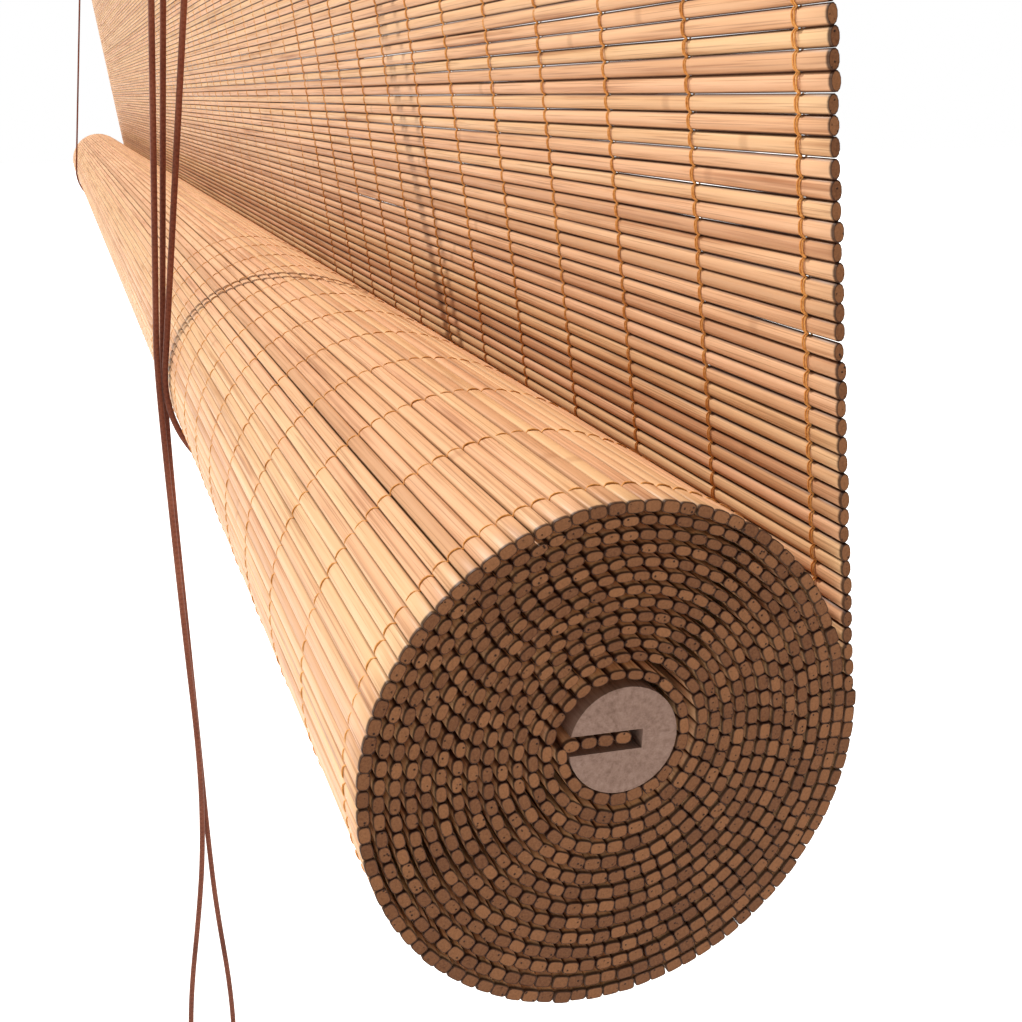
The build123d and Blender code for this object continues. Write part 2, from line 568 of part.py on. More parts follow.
def roller_slot():
    """The slanted slot that the roller's journals ride in, through both side walls."""
    room = JOURNAL_RADIUS + 0.1
    half = ROLLER_HALF + JOURNAL_LENGTH + 0.3
    low = ROLLER_LOW
    high = ROLLER_LOW + ROLLER_PATH * (ROLLER_TRAVEL + 0.2)
    ends = [rod((p.X - half, p.Y, p.Z), (p.X + half, p.Y, p.Z), room) for p in (low, high)]
    tilt = degrees(atan2(high.Z - low.Z, high.Y - low.Y))
    middle = (low + high) * 0.5
    web = Pos(*middle) * Rot(tilt, 0, 0) * Box(2 * half, (high - low).length, 2 * room)
    return ends[0] + ends[1] + web


# ---------------------------------------------------------------- rail and its fittings
def plate_centres():
    return [-PLATE_SPACING / 2, PLATE_SPACING / 2]


def plate_screw_seats(x):
    y = PLATE_THICK / 2
    return [(x, y, RAIL_TOP - 4.0), (x, y, RAIL_TOP - 10.0)]


def hanger_plate(x):
    half = PLATE_WIDTH / 2
    low = RAIL_TOP - PLATE_TAIL
    body = block(x - half, x + half, -PLATE_THICK / 2, PLATE_THICK / 2, low, 0)
    crown = rod((x, -PLATE_THICK / 2, 0), (x, PLATE_THICK / 2, 0), half)
    hole = rod((x, -PLATE_THICK, 0), (x, PLATE_THICK, 0), PLATE_HOLE_RADIUS)
    body = body + crown - hole
    for seat in plate_screw_seats(x):
        body -= screw(seat, (0, -1, 0), clearance=SEAT)
    return body


def anchor_screw_seat(x):
    return (x, RAIL_BACK + ANCHOR_THICK, RAIL_TOP - 6.0)


def anchor_bracket(x):
    half = ANCHOR_WIDTH / 2
    low = ANCHOR_SHELF_TOP - ANCHOR_THICK
    upright = block(x - half, x + half, RAIL_BACK, RAIL_BACK + ANCHOR_THICK, low, RAIL_TOP - 1.0)
    shelf = block(x - half, x + half, RAIL_BACK, RAIL_BACK + ANCHOR_REACH, low, ANCHOR_SHELF_TOP)
    body = upright + shelf
    body -= rod((x, ANCHOR_HOLE_Y, low - 1), (x, ANCHOR_HOLE_Y, low + 3), ANCHOR_HOLE_RADIUS)
    return body - screw(anchor_screw_seat(x), (0, -1, 0), clearance=SEAT)


def nail_places():
    first = -MAT_WIDTH / 2 + 30.0
    step = (MAT_WIDTH - 60.0) / (NAIL_COUNT - 1)
    y = MAT_HALF + 0.15 + BATTEN_THICK
    return [(first + step * i, y, RAIL_BOTTOM + BATTEN_HEIGHT / 2) for i in range(NAIL_COUNT)]


def nail(place, clearance=0.0):
    x, y, z = place
    shank = rod((x, y, z), (x, y - NAIL_LENGTH - clearance, z), NAIL_RADIUS + clearance)
    if clearance:
        return shank
    return shank + rod((x, y, z), (x, y + NAIL_HEAD_HEIGHT, z), NAIL_HEAD_RADIUS)


def batten():
    front = MAT_HALF + 0.15
    body = block(-MAT_WIDTH / 2, MAT_WIDTH / 2, front, front + BATTEN_THICK, RAIL_BOTTOM, BATTEN_TOP)
    for place in nail_places():
        body -= nail(place, SEAT)
    return body


def head_rail():
    body = block(-MAT_WIDTH / 2, MAT_WIDTH / 2, RAIL_FRONT, RAIL_BACK, RAIL_BOTTOM, RAIL_TOP)
    body = fillet(body.edges().filter_by(Axis.X).filter_by(lambda e: e.center().Y < RAIL_FRONT + 1), 2.0)
    for place in nail_places():
        body -= nail(place, SEAT)
    for x in plate_centres():
        for seat in plate_screw_seats(x):
            body -= screw(seat, (0, -1, 0), clearance=SEAT)
    for x in (-PULL_X, PULL_X):
        body -= screw(anchor_screw_seat(x), (0, -1, 0), clearance=SEAT)
    for seat in left_block_screws() + lock_screws():
        body -= screw(seat, (0, 0, 1), clearance=SEAT)
    return body


# ---------------------------------------------------------------- build
save(head_rail(), "head_rail")
save(batten(), "mat_batten")
save(Compound([nail(p) for p in nail_places()]), "batten_nails")
for name, x in zip(("left", "right"), plate_centres()):
    save(hanger_plate(x), f"hanger_plate_{name}")
save(Compound([screw(s, (0, -1, 0)) for x in plate_centres() for s in plate_screw_seats(x)]), "hanger_screws")
for name, x in (("left", -PULL_X), ("right", PULL_X)):
    save(anchor_bracket(x), f"anchor_bracket_{name}")
save(Compound([screw(anchor_screw_seat(x), (0, -1, 0)) for x in (-PULL_X, PULL_X)]), "anchor_screws")

save(left_block(), "pulley_block_left")
save(wheel(LEFT_WHEEL_CENTRE, LEFT_AXLE), "pulley_wheel_left")
save(pin(LEFT_WHEEL_CENTRE, LEFT_AXLE, PIN_HALF), "pulley_pin_left")
save(cord_lock_body(), "cord_lock_body")
save(wheel(LOCK_WHEEL_CENTRE, LOCK_AXLE), "lock_wheel_back")
save(pin(LOCK_WHEEL_CENTRE, LOCK_AXLE, PIN_HALF), "lock_pin_back")
save(wheel(Vector(PULL_X, LOCK_WHEEL_Y, WHEEL_Z), CROSS_AXLE), "lock_wheel_front")
save(pin(Vector(PULL_X, LOCK_WHEEL_Y, WHEEL_Z), CROSS_AXLE, CROSS_PIN_HALF), "lock_pin_front")
save(lock_roller(), "lock_roller")
save(Compound([screw(s, (0, 0, 1)) for s in left_block_screws() + lock_screws()]), "block_screws")

slats = hanging_slats()
holes = [nail(place, 0.1) for place in nail_places()]
low, high = RAIL_BOTTOM + BATTEN_HEIGHT / 2 - 1.0, RAIL_BOTTOM + BATTEN_HEIGHT / 2 + 1.0
for i, slat in enumerate(slats):
    box = slat.bounding_box()
    if box.max.Z > low and box.min.Z < high and box.max.Z > RAIL_BOTTOM:
        for hole in holes:
            slat -= hole
        slats[i] = slat
save(Compound([s for slat in slats for s in slat.solids()]), "hanging_slats")
save(Compound(warp_threads()), "warp_threads")
save(rolled_mat(), "rolled_mat")
save(core_rod(), "core_rod")

save(lift_cord_left(), "lift_cord_left")
save(lift_cord_right(), "lift_cord_right")
for name, side in (("front", -1), ("back", 1)):
    save(free_cord(pull_points(side), f"pull_cord_{name}"), f"pull_cord_{name}")
    save(hank(side), f"pull_hank_{name}")
    save(free_cord(tail_points(side), f"pull_tail_{name}"), f"pull_tail_{name}")
save(hank_tie(), "hank_tie")
save(pull_knob(), "pull_knob")
save(knob_knot(), "knob_knot")

print("roll axis", round(ROLL_Y, 2), round(ROLL_Z, 2), "hanging slats", len(slats))
print("left axle", LEFT_AXLE, "at", LEFT_WHEEL_CENTRE)
print("lock axle", LOCK_AXLE, "at", LOCK_WHEEL_CENTRE)
print("roller at", ROLLER_LOW, "path", ROLLER_PATH)
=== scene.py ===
from math import atan2, cos, pi, radians, sin, tan

import bpy
import numpy as np
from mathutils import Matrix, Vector


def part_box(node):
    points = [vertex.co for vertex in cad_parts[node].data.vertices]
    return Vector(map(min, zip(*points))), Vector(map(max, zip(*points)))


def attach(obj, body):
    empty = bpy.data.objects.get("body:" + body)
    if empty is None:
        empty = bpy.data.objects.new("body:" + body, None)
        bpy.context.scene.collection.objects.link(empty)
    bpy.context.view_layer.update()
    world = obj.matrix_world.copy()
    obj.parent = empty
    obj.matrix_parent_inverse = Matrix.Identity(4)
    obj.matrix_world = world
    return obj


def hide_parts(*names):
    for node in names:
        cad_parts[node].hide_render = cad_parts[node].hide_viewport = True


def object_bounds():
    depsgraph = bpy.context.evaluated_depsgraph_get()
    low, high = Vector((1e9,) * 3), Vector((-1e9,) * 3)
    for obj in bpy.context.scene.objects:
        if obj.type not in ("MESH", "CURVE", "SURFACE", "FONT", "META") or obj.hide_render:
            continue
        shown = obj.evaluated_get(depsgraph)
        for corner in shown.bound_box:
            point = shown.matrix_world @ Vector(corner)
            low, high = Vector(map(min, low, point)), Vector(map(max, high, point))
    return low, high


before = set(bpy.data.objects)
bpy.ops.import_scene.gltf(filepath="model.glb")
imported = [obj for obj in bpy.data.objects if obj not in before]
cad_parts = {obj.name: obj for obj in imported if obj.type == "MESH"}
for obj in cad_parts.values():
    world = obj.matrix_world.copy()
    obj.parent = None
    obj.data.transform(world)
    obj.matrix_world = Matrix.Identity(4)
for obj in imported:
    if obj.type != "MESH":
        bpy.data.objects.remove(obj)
CAD_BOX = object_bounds()

# Bamboo roll-up blind.  Sizes are in millimetres and become metres in the meshes.
MM = 0.001
BLIND = "blind"               # the body that everything rides on except wheels and roller


def mm_box(node):
    low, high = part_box(node)
    return np.array(low) / MM, np.array(high) / MM


# ---------------------------------------------------------------- sizes from the frame
RAIL_LOW, RAIL_HIGH = mm_box("head_rail")
CORE_LOW, CORE_HIGH = mm_box("core_rod")
HALF_WIDTH = RAIL_HIGH[0]
RAIL_BOTTOM = RAIL_LOW[2]
CORE_RISE = 3.4               # the rod's middle above the middle of the outermost turn
ROLL_Y = (CORE_LOW[1] + CORE_HIGH[1]) / 2
ROLL_Z = (CORE_LOW[2] + CORE_HIGH[2]) / 2 - CORE_RISE
MAT_TOP = mm_box("hanging_slats")[1][2]

# ---------------------------------------------------------------- the bamboo mat
SLAT_PITCH = 2.65             # middle of one slat to the middle of the next
SLAT_THICK = 1.75             # thickness of the mat
LEAN = radians(7.2)           # the mat hangs this far out of plumb
TURN_OUTER = 37.35            # middle of the outermost turn
TURN_INNER = 9.25             # middle of the innermost turn
SLOT_ANGLE = radians(-3.0)    # tilt of the rod's slot
TURN_COUNT = 13.5 + (LEAN - SLOT_ANGLE) / (2 * pi)
TURN_STEP = (TURN_OUTER - TURN_INNER) / TURN_COUNT
ROLL_BULGE = 1.5              # the outer turns stand out at the top and the bottom
BULGE_TURN = radians(20)      # the bulges lie a little past the top and the bottom
ROLL_LOOSE = 1.2              # slack of the outer turns at the room side
STITCH_ROWS = 60
STITCH_EDGE = 8.0             # first row from the end of the slats
STITCH_STEP = (2 * HALF_WIDTH - 2 * STITCH_EDGE) / (STITCH_ROWS - 1)
CLOSE_ROWS = 12               # rows near the cut ends that get the finest threads
stitch_rows = [HALF_WIDTH - STITCH_EDGE - STITCH_STEP * i for i in range(STITCH_ROWS)]


def srgb(red, green, blue):
    """A colour as a designer names it, 0 to 255, in linear light."""
    line = [c / 255 for c in (red, green, blue)]
    return [c / 12.92 if c <= 0.04045 else ((c + 0.055) / 1.055) ** 2.4 for c in line] + [1.0]


# ---------------------------------------------------------------- shader sums
class Field:
    """A value that varies over a surface.  Sums on it add Math nodes."""

    def __init__(self, paint, socket):
        self.paint = paint
        self.socket = socket

    def _sum(self, operation, first, second=0.0):
        return self.paint.add("ShaderNodeMath", {0: first, 1: second}, operation=operation)

    def __add__(self, other):
        return self._sum("ADD", self, other)

    __radd__ = __add__

    def __sub__(self, other):
        return self._sum("SUBTRACT", self, other)

    def __rsub__(self, other):
        return self._sum("SUBTRACT", other, self)

    def __mul__(self, other):
        return self._sum("MULTIPLY", self, other)

    __rmul__ = __mul__

    def __pow__(self, other):
        return self._sum("POWER", self, other)

    def __abs__(self):
        return self._sum("ABSOLUTE", self)

    def fract(self):
        return self._sum("FRACT", self)

    def sine(self):
        return self._sum("SINE", self)

    def most(self, other):
        return self._sum("MAXIMUM", self, other)

    def step(self, low, high):
        """0 below low, 1 above high, and smooth between; low may be the larger."""
        sockets = {0: self, 1: low, 2: high, 3: 0.0, 4: 1.0}
        return self.paint.add("ShaderNodeMapRange", sockets, interpolation_type="SMOOTHSTEP")


class Paint:
    """One material, built on a Principled shader."""

    def __init__(self, name, **constants):
        self.material = bpy.data.materials.new(name)
        self.material.use_nodes = True
        self.tree = self.material.node_tree
        self.tree.nodes.clear()
        self.shader = self.tree.nodes.new("ShaderNodeBsdfPrincipled")
        output = self.tree.nodes.new("ShaderNodeOutputMaterial")
        self.tree.links.new(self.shader.outputs[0], output.inputs["Surface"])
        for socket, value in constants.items():
            self.shader.inputs[socket.replace("_", " ")].default_value = value

    def add(self, kind, sockets=None, out=0, stops=None, **settings):
        """A node of one kind: its settings first, then the values or links of its sockets."""
        node = self.tree.nodes.new(kind)
        for key, value in settings.items():
            setattr(node, key, value)
        if stops:
            ramp = node.color_ramp
            while len(ramp.elements) < len(stops):
                ramp.elements.new(0.5)
            for element, (place, colour) in zip(ramp.elements, stops):
                element.position = place
                element.color = colour
        for key, value in (sockets or {}).items():
            self.feed(node.inputs[key], value)
        return Field(self, node.outputs[out])

    def feed(self, socket, value):
        if isinstance(value, Field):
            self.tree.links.new(value.socket, socket)
        else:
            socket.default_value = value

    def mix(self, amount, first, second, blend="MIX"):
        sockets = {0: amount, 6: first, 7: second}
        return self.add("ShaderNodeMix", sockets, out=2, data_type="RGBA", blend_type=blend)

    def place(self):
        """Where a point is in the blind, in metres: a vector and its three parts."""
        spot = self.add("ShaderNodeTexCoord", out=3)
        parts = self.add("ShaderNodeSeparateXYZ", {0: spot})
        node = parts.socket.node
        return spot, [Field(self, node.outputs[i]) for i in range(3)]

    def vector(self, x, y, z):
        return self.add("ShaderNodeCombineXYZ", {0: x, 1: y, 2: z})

    def noise(self, vector, scale, detail=2.0, rough=0.5, shift=None):
        sockets = {"Vector": vector, "Scale": scale, "Detail": detail, "Roughness": rough}
        if shift is None:
            return self.add("ShaderNodeTexNoise", sockets)
        return self.add("ShaderNodeTexNoise", {**sockets, "W": shift}, noise_dimensions="4D")

    def ramp(self, value, stops):
        return self.add("ShaderNodeValToRGB", {0: value}, stops=stops)

    def attribute(self, name):
        return self.add("ShaderNodeAttribute", out=2, attribute_name=name)

    def bump(self, height, strength, distance):
        sockets = {"Strength": strength, "Distance": distance, "Height": height}
        return self.add("ShaderNodeBump", sockets)

    def finish(self, colour, rough, normal):
        for name, value in (("Base Color", colour), ("Roughness", rough), ("Normal", normal)):
            self.feed(self.shader.inputs[name], value)
        return self.material


# ---------------------------------------------------------------- finishes
def bamboo_paint(name, dark, body, light, end_dark, end_light):
    """Split bamboo: long fibres, a tone of its own for each slat, joints, and pored cut ends, with painted
    shade on the sides that face the next slat and round the edge of each cut end.
    """
    p = Paint(name, Specular_IOR_Level=0.2)
    _, (x, y, z) = p.place()
    tone = p.attribute("tone")
    rim = p.attribute("rim")
    end = p.attribute("cut_end")
    side = p.attribute("side")
    stretched = p.vector(x * 9.0, y * 900.0, z * 900.0)
    wander = p.noise(p.vector(x * 22.0, y * 60.0, z * 60.0), 1.0, 2.0, shift=tone * 40.0)
    fibre = p.noise(stretched, 1.0, 4.0, 0.62, shift=tone * 31.0 + wander * 0.8)
    fine = p.noise(p.vector(x * 30.0, y * 3600.0, z * 3600.0), 1.0, 2.0, shift=tone * 17.0)
    blotch = p.noise(p.vector(x * 14.0, y * 90.0, z * 90.0), 1.0, 3.0, 0.6, shift=tone * 23.0)
    joint = abs((x * 2.6 + tone * 13.7).fract() - 0.5).step(0.005, 0.001)
    # darker within about a millimetre of the cut ends
    near_cut_end = (HALF_WIDTH * MM - abs(x)).step(0.0010, 0.0004)
    skin = p.ramp(fibre * 0.62 + blotch * 0.38, [(0.32, dark), (0.46, body), (0.66, light)])
    pinker = p.mix(1.0, skin, srgb(255, 236, 228), "MULTIPLY")
    yellower = p.mix(1.0, skin, srgb(255, 246, 228), "MULTIPLY")
    skin = p.mix((tone * 7.31).fract(), pinker, yellower)
    skin = p.mix((tone * 3.17).fract().step(0.72, 0.98) * 0.4, skin, srgb(164, 112, 76))
    skin = p.mix(fine.step(0.54, 0.66) * 0.5, skin, dark)
    skin = p.mix(joint * 0.3, skin, dark)
    # painted shade: the sides that face the next slat turn dark, where the gaps between slats fall in shade
    skin = p.mix(side.step(0.64, 0.98) * 0.95, skin, srgb(62, 26, 10))
    skin = p.mix(near_cut_end * 0.9, skin, srgb(44, 20, 10))
    pore_place = p.vector(x * 0.0, y, z)
    pores = p.add("ShaderNodeTexVoronoi", {"Vector": pore_place, "Scale": 1150.0, "Randomness": 1.0})
    pore = pores.step(0.26, 0.12) * p.noise(pore_place, 700.0, 1.0).step(0.44, 0.56)
    speckle = p.noise(pore_place, 2600.0, 3.0, 0.7)
    cut = p.mix(speckle * 0.8 + (tone * 5.3).fract() * 0.4 - 0.1, end_dark, end_light)
    cut = p.mix(pore * 0.9, cut, srgb(30, 12, 6))
    # painted shade: a near-black edge round each cut end, where the gaps between the slats' ends fall in
    # shade
    cut = p.mix(rim.step(0.55, 1.0) * 0.85, cut, srgb(28, 8, 4))
    colour = p.mix(end, skin, cut)
    height = fibre * 0.6 + fine * 0.4 - joint * 0.3
    ends = speckle * 0.5 - pore
    relief = p.bump(height * (1 - end) + ends * end, 0.55, 0.00016)
    return p.finish(colour, fibre * -0.18 + 0.56 + end * 0.25, relief)


def twist_paint(name, dark, body, light, turns):
    """Twisted or braided cord: slanting strands that run on along its length."""
    p = Paint(name, Sheen_Weight=0.15, Specular_IOR_Level=0.25)
    spot, (x, y, z) = p.place()
    lay = (z * turns + x * turns * 0.7 + y * turns * 0.6).sine()
    other = (z * turns - x * turns * 0.7 - y * turns * 0.6).sine()
    strands = lay.most(other) * 0.5 + 0.5
    fuzz = p.noise(spot, 2600.0, 3.0, 0.7)
    slow = p.noise(spot, 60.0, 2.0)
    colour = p.ramp(strands * 0.12 + fuzz * 0.5 + slow * 0.4, [(0.25, dark), (0.55, body), (0.88, light)])
    return p.finish(colour, 0.8, p.bump(strands * 0.5 + fuzz * 0.5, 0.4, 0.0002))


def plank_paint(name, dark, body, light, rough, ring=300.0):
    """Planed wood with its grain along the blind."""
    p = Paint(name, Specular_IOR_Level=0.45, Coat_Weight=0.15, Coat_Roughness=0.3)
    _, (x, y, z) = p.place()
    bend = p.noise(p.vector(x * 2.0, y * 12.0, z * 12.0), 1.0, 2.0)
    grain = p.noise(p.vector(x * 5.0, y * ring, z * ring + bend * 3.0), 1.0, 5.0, 0.6)
    pore = p.noise(p.vector(x * 40.0, y * 2200.0, z * 2200.0), 1.0, 2.0)
    colour = p.ramp(grain, [(0.30, dark), (0.5, body), (0.7, light)])
    colour = p.mix(pore.step(0.6, 0.75) * 0.5, colour, dark)
    return p.finish(colour, grain * 0.2 + rough, p.bump(grain * 0.5 - pore * 0.4, 0.3, 0.0003))


def core_paint():
    """The rod's weathered wood; short rays show on its cut end."""
    p = Paint("core wood", Specular_IOR_Level=0.3)
    _, (x, y, z) = p.place()
    out_y, out_z = y - ROLL_Y * MM, z - (ROLL_Z + CORE_RISE) * MM
    reach = (out_y * out_y + out_z * out_z) ** 0.5
    around = p.add("ShaderNodeMath", {0: out_z, 1: out_y}, operation="ARCTAN2")
    rays = p.noise(p.vector(around * 9.0, reach * 260.0, x * 20.0), 1.0, 3.0, 0.65)
    rings = (reach * 4200.0 + rays * 4.0).sine() * 0.5 + 0.5
    speck = p.noise(p.vector(x * 30.0, y * 1500.0, z * 1500.0), 1.0, 3.0, 0.7)
    mixed = rays * 0.3 + rings * 0.05 + speck * 0.65
    colour = p.ramp(mixed, [(0.28, srgb(108, 82, 68)), (0.5, srgb(136, 109, 96)), (0.7, srgb(150, 124, 111))])
    return p.finish(colour, 0.8, p.bump(mixed, 0.5, 0.0004))


def metal_paint(name, colour, rough):
    p = Paint(name, Metallic=1.0)
    spot, (x, y, z) = p.place()
    brushed = p.noise(p.vector(x * 300.0, y * 300.0, z * 4000.0), 1.0, 3.0)
    dull = p.noise(spot, 140.0, 3.0)
    shade = p.mix(dull * 0.5, colour, [c * 0.6 for c in colour[:3]] + [1.0])
    return p.finish(shade, brushed * 0.15 + dull * 0.2 + rough, p.bump(brushed, 0.15, 0.0002))


def moulded_paint(name, colour, rough):
    p = Paint(name, Specular_IOR_Level=0.5)
    spot, _ = p.place()
    grain = p.noise(spot, 1800.0, 2.0)
    cloud = p.noise(spot, 90.0, 3.0)
    shade = p.mix(cloud * 0.5, colour, [c * 0.75 for c in colour[:3]] + [1.0])
    return p.finish(shade, grain * 0.12 + rough, p.bump(grain, 0.25, 0.0002))


BAMBOO = bamboo_paint("split bamboo", srgb(154, 106, 70), srgb(214, 178, 142), srgb(229, 199, 165),
                      srgb(70, 34, 14), srgb(154, 104, 66))
THREAD = twist_paint("stitching thread", srgb(160, 94, 36), srgb(216, 150, 76), srgb(242, 194, 124), 5200.0)
CORD = twist_paint("braided cord", srgb(74, 30, 20), srgb(122, 66, 46), srgb(160, 102, 78), 3300.0)
RAIL_WOOD = plank_paint("planed rail", srgb(140, 84, 46), srgb(188, 128, 80), srgb(214, 160, 112), 0.35)
KNOB_WOOD = plank_paint("turned knob", srgb(120, 68, 36), srgb(176, 114, 68), srgb(204, 146, 98), 0.3, 500.0)
CORE_WOOD = core_paint()
STEEL = metal_paint("zinc plate", srgb(190, 190, 192), 0.3)
BRASS = metal_paint("brass", srgb(204, 168, 96), 0.28)
LOCK_PLASTIC = moulded_paint("moulded brown", srgb(118, 82, 56), 0.45)
WHEEL_PLASTIC = moulded_paint("turned nylon", srgb(226, 220, 206), 0.35)

FINISHES = {
    "head_rail": RAIL_WOOD, "mat_batten": RAIL_WOOD, "core_rod": CORE_WOOD, "pull_knob": KNOB_WOOD,
    "lift_cord_left": CORD, "lift_cord_right": CORD, "knob_knot": CORD, "lock_roller": BRASS,
    "pulley_block_left": LOCK_PLASTIC, "cord_lock_body": LOCK_PLASTIC,
    "pulley_wheel_left": WHEEL_PLASTIC, "lock_wheel_back": WHEEL_PLASTIC, "lock_wheel_front": WHEEL_PLASTIC,
}
for steel_piece in ("batten_nails", "hanger_plate_left", "hanger_plate_right", "hanger_screws",
                    "anchor_screws", "anchor_bracket_left", "anchor_bracket_right", "pulley_pin_left",
                    "lock_pin_back", "lock_pin_front", "block_screws"):
    FINISHES[steel_piece] = STEEL
for node, finish in FINISHES.items():
    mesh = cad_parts[node].data
    mesh.materials.clear()
    mesh.materials.append(finish)


# ---------------------------------------------------------------- meshes
def piece(name, points, faces, material, fields=None, replaces=()):
    """A mesh piece from points in millimetres; fields are one number per point."""
    mesh = bpy.data.meshes.new(name)
    mesh.from_pydata((np.asarray(points) * MM).tolist(), [], faces)
    for key, values in (fields or {}).items():
        mesh.attributes.new(key, "FLOAT", "POINT").data.foreach_set("value", np.asarray(values, np.float32))
    mesh.shade_smooth()
    mesh.materials.append(material)
    made = bpy.data.objects.new(name, mesh)
    bpy.context.scene.collection.objects.link(made)
    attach(made, BLIND)
    if replaces:
        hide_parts(*replaces)
    return made


class Bundle:
    """Points, faces and fields of many like pieces that end up as one mesh."""

    def __init__(self):
        self.points = []
        self.faces = []
        self.fields = {}
        self.count = 0

    def put(self, points, faces, **fields):
        points = np.asarray(points).reshape(-1, 3)
        self.points.append(points)
        self.faces += [tuple(self.count + corner for corner in face) for face in faces]
        for key, value in fields.items():
            self.fields.setdefault(key, []).append(np.broadcast_to(value, len(points)))
        self.count += len(points)

    def make(self, name, material, replaces=()):
        fields = {key: np.concatenate(values) for key, values in self.fields.items()}
        return piece(name, np.concatenate(self.points), self.faces, material, fields, replaces)


def tube_faces(rings, sides):
    faces = []
    for i in range(rings - 1):
        for j in range(sides):
            k = (j + 1) % sides
            faces.append((i * sides + j, i * sides + k, (i + 1) * sides + k, (i + 1) * sides + j))
    return faces


rng = np.random.default_rng(72)


def slat_outline(width, thick, square, sides):
    """A rounded outline: width along the mat, thick through it; square rounds the corners less."""
    angle = 2 * pi * (np.arange(sides) + 0.5) / sides
    c, s = np.cos(angle), np.sin(angle)
    power = 2 / square
    return np.sign(c) * np.abs(c) ** power * width / 2, np.sign(s) * np.abs(s) ** power * thick / 2


LIP = 0.07                    # length of the worn edge of a cut end
WORN = 0.94                   # size of a slat at its very end
SINK = 0.05                   # the middle of a cut end lies a little low
CORE_SHARE = 0.76             # part of a cut end inside its dark edge of painted shade
CORE_RIM = 0.35               # the rim field there: 1 at the edge, 0 in the middle
END_ROOM = 1.0                # no other place of a slat lies nearer to its ends
STITCH_REACH = 0.6            # a slat is pinched this near to a row of stitching
STITCH_SIDE = 1.6             # from a row of stitching to the places beside it
ACROSS_WAVES = (37, 13)       # length of a slat's long and short waves, over 2 pi
THROUGH_WAVES = (51, 17)
SWELL_WAVE = 23               # and of its swell
SWELL = 0.02                  # how much a slat's size varies along it
SHORT_SHARE = 0.6             # height of the short waves, against the long ones
THROUGH_SHARE = 0.7           # height of the waves through the mat, against those across


def waves(x, lengths, phases):
    """A long and a short wave along a slat."""
    long, short = lengths
    return sin(x / long + phases[0]) + SHORT_SHARE * sin(x / short + phases[1])


def add_slat(bundle, centre, along, out, width, thick, square, stations, ends,
             sway=0.0, pinch=0.0, sides=12, gap_shade=1.0):
    """One slat.  along and out are unit directions in Y and Z: along the mat, and through it."""
    a, b = slat_outline(width, thick, square, sides)
    phase = rng.uniform(0, 2 * pi, 4)
    tone = rng.uniform()
    left, right = ends
    between = [x for x in stations if left + END_ROOM < x < right - END_ROOM]
    xs = [left, left + LIP] + between + [right - LIP, right]
    rings = []
    for i, x in enumerate(xs):
        size = WORN if i in (0, len(xs) - 1) else 1.0
        nip = 1 - pinch * sum(1 for row in stitch_rows[:CLOSE_ROWS] if abs(x - row) < STITCH_REACH)
        wave_a = sway * waves(x, ACROSS_WAVES, phase[:2])
        wave_b = sway * THROUGH_SHARE * waves(x, THROUGH_WAVES, phase[2:])
        swell = 1 + SWELL * sin(x / SWELL_WAVE + phase[1])
        u, v = a * size * swell * nip + wave_a, b * size * swell * nip + wave_b
        ring = np.empty((sides, 3))
        ring[:, 0] = x
        ring[:, 1] = centre[0] + u * along[0] + v * out[0]
        ring[:, 2] = centre[1] + u * along[1] + v * out[1]
        rings.append(ring)
    body = len(xs) * sides
    points = np.concatenate(rings)
    faces = tube_faces(len(xs), sides)
    # cut ends: their own rings, so that the end grain stops sharply at the edge
    caps = []
    for at, last in ((0, False), (len(xs) - 1, True)):
        ring = rings[at]
        middle = ring.mean(axis=0)
        inner = middle + (ring - middle) * CORE_SHARE
        middle[0] += -SINK if last else SINK
        start = body + len(caps) * (2 * sides + 1)
        caps.append(np.concatenate([ring, inner, middle[None]]))
        for j in range(sides):
            k = (j + 1) % sides
            quad = (start + j, start + k, start + sides + k, start + sides + j)
            fan = (start + sides + j, start + sides + k, start + 2 * sides)
            faces += [quad, fan] if last else [quad[::-1], fan[::-1]]
    points = np.concatenate([points] + caps)
    rim = np.ones(len(points))
    # painted gap shade: 1 where the slat faces its neighbour, less where the gap is to look shallow
    painted_gap_shade = np.tile(np.abs(a) / (width / 2) * gap_shade, len(xs))
    side = np.concatenate([painted_gap_shade, np.zeros(len(points) - body)])
    cut_end = np.zeros(len(points))
    for i in range(2):
        start = body + i * (2 * sides + 1)
        cut_end[start:] = 1.0
        rim[start + sides:start + 2 * sides] = CORE_RIM
        rim[start + 2 * sides] = 0.0
    bundle.put(points, faces, tone=tone, rim=rim, cut_end=cut_end, side=side)


def close_stations(columns, every):
    """Places along a slat: three at each of the first rows of stitching, and wide apart beyond."""
    fine = [row + step for row in stitch_rows[:columns] for step in (-STITCH_SIDE, 0.0, STITCH_SIDE)]
    far = np.arange(-HALF_WIDTH + every, stitch_rows[columns] + every / 2, every)
    return sorted(fine + list(far))


def cut_ends(spread):
    """Left and right ends of a slat: nobody cuts them all alike."""
    return -HALF_WIDTH + rng.uniform(0, spread), HALF_WIDTH - rng.uniform(0, spread)


